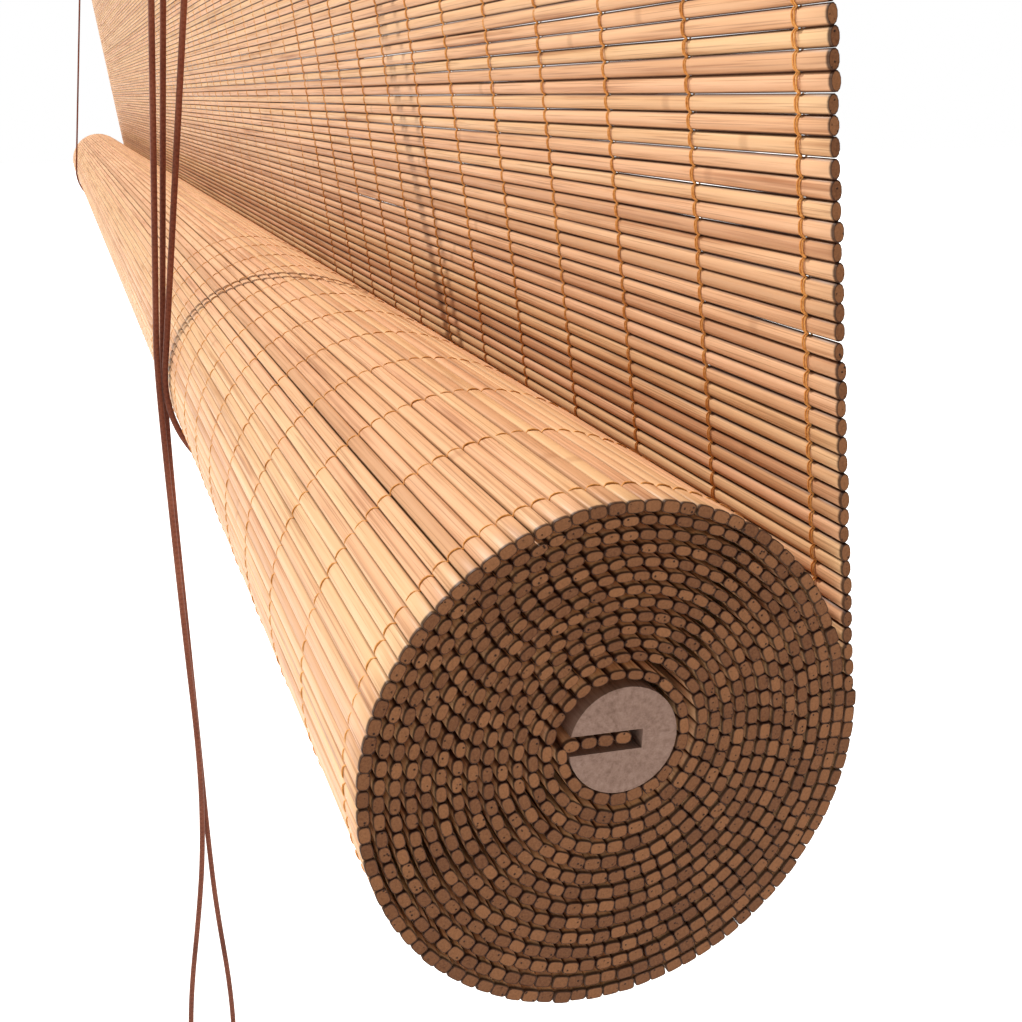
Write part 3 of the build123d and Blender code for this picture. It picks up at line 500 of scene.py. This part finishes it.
# ---------------------------------------------------------------- hanging mat
CLAMP_GAP = 0.15              # between the slats behind the batten
CLAMP_SQUARE = 3.0            # those slats are pressed nearly square
FAR_STATION = 110.0           # between the places of a hanging slat, away from the cut end
HANGING_SWAY = 0.04           # how far a slat wanders from straight
HANGING_PINCH = 0.04          # how much the stitching draws a slat in
CLAMP_END = 0.3               # how unevenly the slats behind the batten are cut
HANGING_END = 0.5             # and the ones below it
HANGING_SHIFT = 0.05          # how far a slat lies out of the mat's plane
HANGING_WIDTH = (1.0, 1.045)  # against the pitch
HANGING_THICK = (0.82, 0.96)  # against the mat's thickness
HANGING_SQUARE = (2.0, 2.4)   # how square their outline is; 2 is an ellipse
DOWN = np.array([sin(LEAN), -cos(LEAN)])       # down the hanging mat, in Y and Z
OUT = np.array([cos(LEAN), sin(LEAN)])         # through it, towards the window
MAT_RUN = (RAIL_BOTTOM - ROLL_Z) / cos(LEAN) - TURN_OUTER * tan(LEAN)
hanging_count = int(MAT_RUN / SLAT_PITCH)
HANG_PITCH = MAT_RUN / hanging_count
clamped_count = int((MAT_TOP - RAIL_BOTTOM) / SLAT_PITCH + 0.5)


def build_hanging_mat():
    """The slats behind the batten, and those from the rail down to the roll."""
    slats = Bundle()
    stations = close_stations(CLOSE_ROWS, FAR_STATION)
    for i in range(clamped_count):
        centre = (0.0, RAIL_BOTTOM + SLAT_PITCH * (i + 0.5))
        add_slat(slats, centre, (0, -1), (1, 0), SLAT_PITCH - CLAMP_GAP, SLAT_THICK, CLAMP_SQUARE, [0.0],
                 cut_ends(CLAMP_END))
    for i in range(hanging_count):
        centre = np.array([0.0, RAIL_BOTTOM]) + DOWN * HANG_PITCH * (i + 0.5)
        centre = centre + OUT * rng.normal(0, HANGING_SHIFT)
        width = SLAT_PITCH * rng.uniform(*HANGING_WIDTH)
        thick = SLAT_THICK * rng.uniform(*HANGING_THICK)
        square = rng.uniform(*HANGING_SQUARE)
        add_slat(slats, centre, DOWN, OUT, width, thick, square, stations,
                 cut_ends(HANGING_END), HANGING_SWAY, HANGING_PINCH)
    slats.make("hanging_slats_bamboo", BAMBOO, ("hanging_slats",))


# ---------------------------------------------------------------- roll
LINE_POINTS = 4200            # points of the turns' middle line
SLOT_FROM, SLOT_TO = -7.0, 2.8      # the mat in the slot, from the middle of the core
SLOT_RISE = 0.2               # the slot lies above the middle of the core
AXIS = np.array([ROLL_Y, ROLL_Z])   # middle of the outermost turn, in Y and Z
OUTER_SLATS = 118             # slats of the outer turns, whose faces can be seen
STITCHED_SLATS = 92           # slats of the outer turns that show stitching
OUTER_THICK = 1.8             # least thickness of an outer slat
GRIPPED_SLATS = 4             # slats in the slot
TURN_GAP = 0.04               # taken off the room between two turns for a slat
ROLL_END = 0.3                # how unevenly the slats of the roll are cut
ROLL_ROWS = 5                 # rows of stitching that have places of their own on a slat
ROLL_STATION = 200.0          # between the places beyond them
HALF_STRETCH = 0.8            # half of the stretch that gives a slat its direction
SNUG_TURN = radians(50)       # the turns lie tightest this far below level, on the window side
THREAD_RISE = 0.06            # crown of a slat to the middle of a thread over it
# a slat's size at the loosest side, and how much more it is at the tightest
LOOSE_WIDTH, SNUG_WIDTH = 0.98, 0.02
LOOSE_THICK, SNUG_THICK = 0.82, 0.10
LOOSE_SQUARE, SNUG_SQUARE = 2.3, 2.0
# how the slats of the roll vary
ROLL_WIDTH = (0.98, 1.03)
ROLL_THICK = (0.94, 1.0)
ROLL_SQUARE = (-0.2, 0.5)
ROLL_SHIFT = 0.04             # spread, off the line of the mat
OUTER_TILT, INNER_TILT = 1.2, 3.0   # spread, in degrees
OUTER_SQUARE = 0.8            # the outer slats are this much squarer
OUTER_SWAY = 0.04             # how far they wander from straight
GRIPPED_THICK = 1.1           # the slats in the slot, against the mat's thickness
INNER_SHADE = 1.05            # how dark the gaps look
OUTER_SHADE = 0.8


def turn_point(share):
    """A point of the rolled mat's middle: share 0 at the outside, 1 at the slot's mouth."""
    left = TURN_COUNT * (1 - share)
    angle = LEAN - 2 * pi * TURN_COUNT * share
    wound = left ** 3 if left < 1 else left              # the last turn hugs the core
    slack = ROLL_BULGE * sin(angle - LEAN + BULGE_TURN) ** 2 + ROLL_LOOSE * sin((angle - LEAN) / 2) ** 2
    radius = TURN_INNER + TURN_STEP * wound + slack * (1 - share)
    return radius * cos(angle), radius * sin(angle) + CORE_RISE * share


def roll_line():
    """The whole way of the mat through the roll and into the rod's slot."""
    line = [turn_point(share) for share in np.linspace(0, 1, LINE_POINTS)]
    for reach in (SLOT_FROM, SLOT_TO):
        line.append((reach * cos(SLOT_ANGLE), reach * sin(SLOT_ANGLE) + CORE_RISE + SLOT_RISE))
    return np.array(line)


def line_at(line, run, at):
    """The point of a line at a length along it."""
    return np.array([np.interp(at, run, line[:, k]) for k in (0, 1)])


def build_roll():
    """Every slat of the roll; gives each one's place, directions and height for the stitching."""
    line = roll_line()
    step = np.linalg.norm(np.diff(line, axis=0), axis=1)
    run = np.concatenate([[0], np.cumsum(step)])
    total = int((run[-1] - SLAT_PITCH / 2) / SLAT_PITCH)
    outer = Bundle()
    inner = Bundle()
    stations = close_stations(ROLL_ROWS, ROLL_STATION)
    places = []
    for i in range(total):
        at = SLAT_PITCH * (i + 0.5)
        ahead, behind = min(at + HALF_STRETCH, run[-1]), max(at - HALF_STRETCH, 0)
        spot = line_at(line, run, at)
        way = line_at(line, run, ahead) - line_at(line, run, behind)
        way /= np.linalg.norm(way)
        out = np.array([-way[1], way[0]])
        around = atan2(spot[1], spot[0])
        snug = 0.5 + 0.5 * cos(around + SNUG_TURN)           # 1 at the tightest side, 0 across from it
        room = TURN_STEP - CORE_RISE / TURN_COUNT * sin(around)
        width = SLAT_PITCH * (LOOSE_WIDTH + SNUG_WIDTH * snug) * rng.uniform(*ROLL_WIDTH)
        thick = (room - TURN_GAP) * (LOOSE_THICK + SNUG_THICK * snug) * rng.uniform(*ROLL_THICK)
        square = LOOSE_SQUARE + SNUG_SQUARE * snug + rng.uniform(*ROLL_SQUARE)
        shown = i < OUTER_SLATS
        if shown:
            square += OUTER_SQUARE
            thick = max(thick, OUTER_THICK)
        if i >= total - GRIPPED_SLATS:
            thick = SLAT_THICK * GRIPPED_THICK
        places.append((spot + AXIS, way, out, thick / 2 + THREAD_RISE))
        tilt = radians(rng.normal(0, OUTER_TILT if shown else INNER_TILT))
        turned = way * cos(tilt) + out * sin(tilt)
        side = np.array([-turned[1], turned[0]])
        centre = spot + rng.normal(0, ROLL_SHIFT, 2) + AXIS
        if shown:
            add_slat(outer, centre, turned, side, width, thick, square, stations, cut_ends(ROLL_END),
                     sway=OUTER_SWAY, sides=14, gap_shade=OUTER_SHADE)
        else:
            add_slat(inner, centre, turned, side, width, thick, square, [], cut_ends(ROLL_END),
                     gap_shade=INNER_SHADE)
    outer.make("roll_outer_slats", BAMBOO, ("rolled_mat",))
    inner.make("roll_inner_slats", BAMBOO, ())
    return places


# ---------------------------------------------------------------- stitching
THREAD_RADIUS = 0.15
CROWN = 0.89                  # middle of a hanging slat to the middle of a thread over it
DIP = 0.96                    # how deep a thread dips into the gaps; 1 is to the middle of the slats
FLATNESS = 3.2                # how flat it lies over a slat; 2 is round
PAIR_HALF = 0.22              # half of the way between the two threads of the room side
HIDDEN_SLATS = 3              # the lowest hanging slats, whose room side the roll hides
THREAD_JITTER = 0.08          # how far a stitch lies out of its row
BACK_SHIFT = 0.2              # the back's single thread lies this far from the middle of the row
BACK_BOW = -0.5               # how far it bows between two gaps
BACK_LEAN = 0.12              # how far it leans, at each gap
BACK_THICK = 1.1              # against a thread of the room side
PAIR_BOW = 0.3                # the pair's threads bow apart by this part of their distance
PAIR_LEAN = 0.06              # spread of how far they lean
FINE_THREAD, PLAIN_THREAD = (6, 5), (3, 3)   # points over a slat, and sides


def strand(bundle, path, radius, sides):
    """A short thread along a list of points."""
    path = np.asarray(path)
    way = np.gradient(path, axis=0)
    way /= np.linalg.norm(way, axis=1)[:, None]
    across = np.cross(way, (1.0, 0.0, 0.0))
    across /= np.linalg.norm(across, axis=1)[:, None]
    other = np.cross(way, across)
    angle = 2 * pi * np.arange(sides) / sides
    rings = [p + radius * (np.outer(np.cos(angle), a) + np.outer(np.sin(angle), o))
             for p, a, o in zip(path, across, other)]
    bundle.put(np.concatenate(rings), tube_faces(len(path), sides))


def over_slat(centre, along, out, x, height, bow, lean, points, reach):
    """A thread's way over one slat: in the gap, over the crown, into the next gap."""
    share = np.linspace(-1, 1, points)
    rise = height * np.sqrt(np.clip(1 - (np.abs(share) * DIP) ** FLATNESS, 0, 1))
    down = share * reach / 2
    xs = x + bow * (1 - share ** 2) + lean * share
    ys = centre[0] + down * along[0] + rise * out[0]
    zs = centre[1] + down * along[1] + rise * out[1]
    return np.stack([xs, ys, zs], axis=1)


def stitch_row(bundle, slats, row, face, fine):
    """One row of stitching on a list of slats; face 1 is the back and the outside of the roll."""
    x = stitch_rows[row]
    points, sides = FINE_THREAD if fine else PLAIN_THREAD
    for centre, along, out, crown in slats:
        jitter = rng.normal(0, THREAD_JITTER)
        if face > 0:
            path = over_slat(centre, along, out, x + jitter + BACK_SHIFT, crown, BACK_BOW, BACK_LEAN,
                             points, SLAT_PITCH)
            strand(bundle, path, THREAD_RADIUS * BACK_THICK, sides)
        else:
            for side in (-PAIR_HALF, PAIR_HALF):
                path = over_slat(centre, along, -np.asarray(out), x + side + jitter, crown, PAIR_BOW * side,
                                 rng.normal(0, PAIR_LEAN), points, SLAT_PITCH)
                strand(bundle, path, THREAD_RADIUS, sides)


def build_stitching(places):
    """Both faces of the hanging mat and the outside of the roll."""
    hanging = [(np.array([0.0, RAIL_BOTTOM]) + DOWN * HANG_PITCH * (i + 0.5), DOWN, OUT, CROWN)
               for i in range(hanging_count)]
    near, far = range(CLOSE_ROWS), range(CLOSE_ROWS, STITCH_ROWS)
    for name, slats, face, rows, stands_for in (
            ("front_stitching_near", hanging[:-HIDDEN_SLATS], -1, near, ("warp_threads",)),
            ("front_stitching_far", hanging[:-HIDDEN_SLATS], -1, far, ()),
            ("back_stitching", hanging, 1, range(STITCH_ROWS), ()),
            ("roll_stitching", places[:STITCHED_SLATS], 1, range(STITCH_ROWS), ())):
        bundle = Bundle()
        for row in rows:
            stitch_row(bundle, slats, row, face, row < CLOSE_ROWS and name != "back_stitching")
        bundle.make(name, THREAD, stands_for)


# ---------------------------------------------------------------- cords
CORD_RADIUS = 1.0


def cord_piece(name, points, nodes):
    """A cord on one smooth line through the run of its points."""
    curve = bpy.data.curves.new(name, "CURVE")
    curve.dimensions = "3D"
    curve.bevel_depth = CORD_RADIUS * MM
    curve.bevel_resolution = 2
    curve.resolution_u = 5
    curve.use_fill_caps = True
    spline = curve.splines.new("NURBS")
    spline.points.add(len(points) - 1)
    for knot, point in zip(spline.points, points):
        knot.co = (*(Vector(point) * MM), 1.0)
    spline.order_u = 3
    spline.use_endpoint_u = True
    curve.materials.append(CORD)
    made = bpy.data.objects.new(name, curve)
    bpy.context.scene.collection.objects.link(made)
    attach(made, BLIND)
    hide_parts(*nodes)
    return made


HANK_TURNS = 8
HANK_LAYERS = 5
HANK_STEP = 2.1
HANK_HALF = 11.0              # half of the straight part of a turn
HANK_INNER = 4.0              # radius of the bends of the innermost layer
HANK_LEAD = 12.0              # the strand comes in this far above the straight part of a turn
TAIL_INSET = 2.3              # the tail is measured from this far inside the start of the hank
BEND_POINTS = 6               # control steps round each end of a turn
BEND_OUT = 1 / cos(radians(90 / BEND_POINTS))      # the steps lie outside the bend they make
# from the last turn to the tail: across, onward from that turn, and up
HANK_EXIT = ((4.0, 0.0, 8.0), (4.0, 0.0, -9.0), (3.2, 0.7, -12.5), (1.4, 1.9, -16.0))
# the tail to the knob: away from where it is measured, and up
TAIL_WAY = ((21.4, -20.0), (22.2, -27.0), (17.4, -37.0), (8.5, -44.0), (1.25, -51.0), (1.25, -60.0))


def hank_points(middle_x, start_y, side, middle_z):
    """Layers of turns side by side, from the outside in; the cord comes down its right side."""
    points = []
    steps = 2 * (BEND_POINTS + 1)
    for layer in range(HANK_LAYERS):
        for turn in range(HANK_TURNS):
            for i in range(steps):
                share = (turn + i / steps) / HANK_TURNS
                across = share if layer % 2 == 0 else 1 - share
                half, part = divmod(i, BEND_POINTS + 1)
                angle = -pi * (half + part / BEND_POINTS)
                inset = layer + (i / steps - 1 if turn == 0 and layer else 0)
                radius = HANK_INNER + (HANK_LAYERS - 1 - inset) * HANK_STEP
                swell = BEND_OUT if 0 < part < BEND_POINTS else 1.0
                x = middle_x + radius * swell * cos(angle)
                z = middle_z + radius * swell * sin(angle) + (-HANK_HALF if half == 0 else HANK_HALF)
                y = start_y + side * across * HANK_TURNS * HANK_STEP
                points.append((x, y, z))
    return points


def build_pull_cord(name, side, route, exit_point):
    """A pull cord: down from the lock past the roll, through its hank, to the knob."""
    hank_low, hank_high = mm_box(f"pull_hank_{name}")
    middle_x = (hank_low[0] + hank_high[0]) / 2
    middle_z = (hank_low[2] + hank_high[2]) / 2
    near = hank_low[1] if side > 0 else hank_high[1]
    start_y = near + side * CORD_RADIUS
    core_y = start_y - side * TAIL_INSET
    points = [exit_point] + route
    points.append((route[-1][0], start_y, middle_z + HANK_HALF + HANK_LEAD))
    points += hank_points(middle_x, start_y, side, middle_z)
    last_y = start_y + side * HANK_TURNS * HANK_STEP
    for across, out, rise in HANK_EXIT:
        points.append((middle_x + across, last_y + side * out, middle_z + rise))
    for out, rise in TAIL_WAY:
        points.append((middle_x, core_y + side * out, middle_z + rise))
    made = cord_piece(f"pull_cord_{name}_line", points,
                      (f"pull_cord_{name}", f"pull_hank_{name}", f"pull_tail_{name}"))
    return made


TIE_TURNS = 3
TIE_STEP = 2.1
TIE_START = -1.4              # first turn from the middle, in steps
TIE_CORNER = 2.5              # reach of a turn's rounded corners


def build_tie():
    """Turns of cord round the waist of both hanks."""
    low, high = mm_box("hank_tie")
    middle = (low + high) / 2
    half_x = (high[0] - low[0]) / 2 - CORD_RADIUS
    half_y = (high[1] - low[1]) / 2 - CORD_RADIUS
    bend = [(half_x, half_y - TIE_CORNER), (half_x, half_y), (half_x - TIE_CORNER, half_y)]
    points = []
    for turn in range(TIE_TURNS):
        for i, (sx, sy) in enumerate(((1, 1), (-1, 1), (-1, -1), (1, -1))):
            z = middle[2] + TIE_STEP * (turn + i / 4 + TIE_START)
            for a, b in bend if i % 2 == 0 else bend[::-1]:
                points.append((middle[0] + sx * a, middle[1] + sy * b, z))
    return cord_piece("hank_tie_turns", points, ("hank_tie",))


# each pull strand past the mat and the roll, down to its hank
FRONT_ROUTE = [(641.0, -43.8, -321.0), (641.0, -43.4, -365.0), (641.0, -42.5, -419.0), (641.0, -41.2, -467.0),
               (641.0, -42.9, -503.0), (641.0, -46.5, -531.0), (641.0, -52.5, -567.0), (641.0, -54.9, -599.0),
               (641.0, -51.5, -624.0)]
BACK_ROUTE = [(638.6, -41.9, -323.0), (638.6, -42.2, -369.0), (638.6, -41.5, -421.0), (638.5, -41.0, -469.0),
              (638.8, -40.7, -505.0), (639.4, -39.9, -533.0), (640.2, -37.3, -569.0), (640.8, -37.7, -599.0),
              (641.0, -41.5, -624.0)]
# where each strand leaves the lock; it runs straight and tight from there to the roll
FRONT_EXIT = (641.0, -27.45, -99.0)
BACK_EXIT = (633.7, -21.8, -99.0)
BEND_CLEAR = 14.0             # from the end of the straight run up to its last point


def down_to(start, end):
    """A point on the straight run, just before the bend at its end."""
    share = 1 - BEND_CLEAR / (start[2] - end[2])
    return tuple(s + (e - s) * share for s, e in zip(start, end))


def build_cords():
    tie = build_tie()
    front = [down_to(FRONT_EXIT, FRONT_ROUTE[0])] + FRONT_ROUTE
    back = [down_to(BACK_EXIT, BACK_ROUTE[0])] + BACK_ROUTE
    build_pull_cord("front", -1, front, FRONT_EXIT)
    build_pull_cord("back", 1, back, BACK_EXIT)


# ---------------------------------------------------------------- room, light and camera
FLOOR_HALF = 30.0             # half the floor's width, in metres
FLOOR_DROP = 0.9              # from the lowest piece down to the floor, in metres


def build_room():
    mesh = bpy.data.meshes.new("floor")
    size, level = FLOOR_HALF, CAD_BOX[0][2] - FLOOR_DROP
    mesh.from_pydata([(-size, -size, level), (size, -size, level), (size, size, level), (-size, size, level)],
                     [], [(0, 1, 2, 3)])
    p = Paint("pale floor", Base_Color=srgb(255, 255, 255), Roughness=1.0, Specular_IOR_Level=0.0,
              Emission_Color=(1, 1, 1, 1), Emission_Strength=0.6)
    mesh.materials.append(p.material)
    floor = bpy.data.objects.new("floor", mesh)
    bpy.context.scene.collection.objects.link(floor)


AMBIENT = 0.33
KEY_STRENGTH = 4.1
KEY_WAY = Vector((0.80, 0.57, -1.15))        # the way the key light travels


def build_light():
    world = bpy.data.worlds.new("studio")
    bpy.context.scene.world = world
    world.use_nodes = True
    tree = world.node_tree
    tree.nodes.clear()
    seen = tree.nodes.new("ShaderNodeBackground")
    seen.inputs["Color"].default_value = (1, 1, 1, 1)
    seen.inputs["Strength"].default_value = 1.0
    soft = tree.nodes.new("ShaderNodeBackground")
    soft.inputs["Color"].default_value = (1.0, 0.94, 0.88, 1)
    soft.inputs["Strength"].default_value = AMBIENT
    ray = tree.nodes.new("ShaderNodeLightPath")
    mix = tree.nodes.new("ShaderNodeMixShader")
    output = tree.nodes.new("ShaderNodeOutputWorld")
    tree.links.new(ray.outputs["Is Camera Ray"], mix.inputs[0])
    tree.links.new(soft.outputs[0], mix.inputs[1])
    tree.links.new(seen.outputs[0], mix.inputs[2])
    tree.links.new(mix.outputs[0], output.inputs["Surface"])
    lamp = bpy.data.lights.new("key", "SUN")
    lamp.energy = KEY_STRENGTH
    lamp.angle = radians(0.8)
    lamp.color = (1.0, 0.955, 0.90)
    key = bpy.data.objects.new("key", lamp)
    key.rotation_euler = KEY_WAY.to_track_quat("-Z", "Y").to_euler()
    bpy.context.scene.collection.objects.link(key)


CAMERA_SPOT = (140.5, -66.9, 89.0)           # from the middle of the roll's right end
CAMERA_PITCH, CAMERA_TURN = radians(18.46), radians(19.62)


def build_camera():
    lens = bpy.data.cameras.new("camera")
    lens.lens = 43.68
    lens.sensor_width = 36.0
    lens.clip_end = 60.0
    camera = bpy.data.objects.new("camera", lens)
    along, aside, above = CAMERA_SPOT
    camera.location = Vector((HALF_WIDTH + along, ROLL_Y + aside, ROLL_Z + above)) * MM
    level = cos(CAMERA_PITCH)
    look = Vector((-level * cos(CAMERA_TURN), level * sin(CAMERA_TURN), -sin(CAMERA_PITCH)))
    camera.rotation_euler = look.to_track_quat("-Z", "Y").to_euler()
    bpy.context.scene.collection.objects.link(camera)
    bpy.context.scene.camera = camera


build_hanging_mat()
places = build_roll()
build_stitching(places)
build_cords()
build_room()
build_light()
build_camera()
bpy.context.scene.view_settings.view_transform = "Standard"
